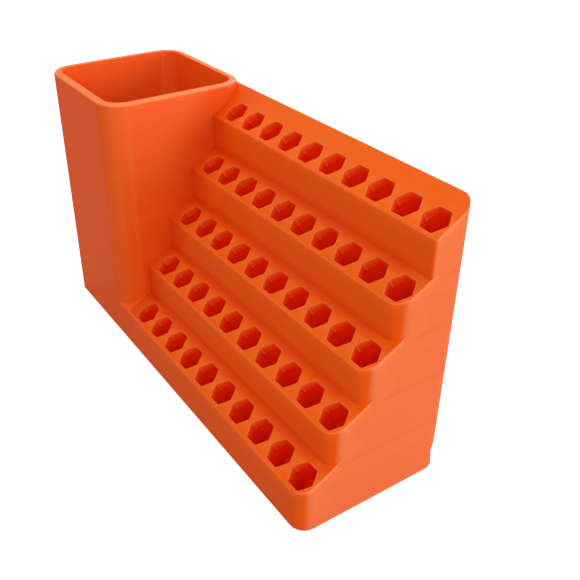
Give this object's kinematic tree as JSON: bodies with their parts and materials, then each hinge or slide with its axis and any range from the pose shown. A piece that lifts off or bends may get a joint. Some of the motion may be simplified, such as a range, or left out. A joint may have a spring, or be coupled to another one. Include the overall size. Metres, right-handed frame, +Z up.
{
  "type": "drill bit organizer",
  "caption": "Stepped bit holder with rows of leaning hexagonal sockets on a staircase block, joined to a tall open bin with rounded corners.",
  "frame": {"origin": "middle of the underside, on the surface that the organizer stands on", "axes": "+X along the rows of sockets, from the bin to the stepped end face; +Y towards the back, the way the steps climb; +Z up"},
  "size_m": [0.1446, 0.0466, 0.0806],
  "materials": {
    "orange_print": "layered filament print with a soft sheen"
  },
  "bodies": {
    "root": {"organizer_body": "orange_print"}
  },
  "joints": []
}
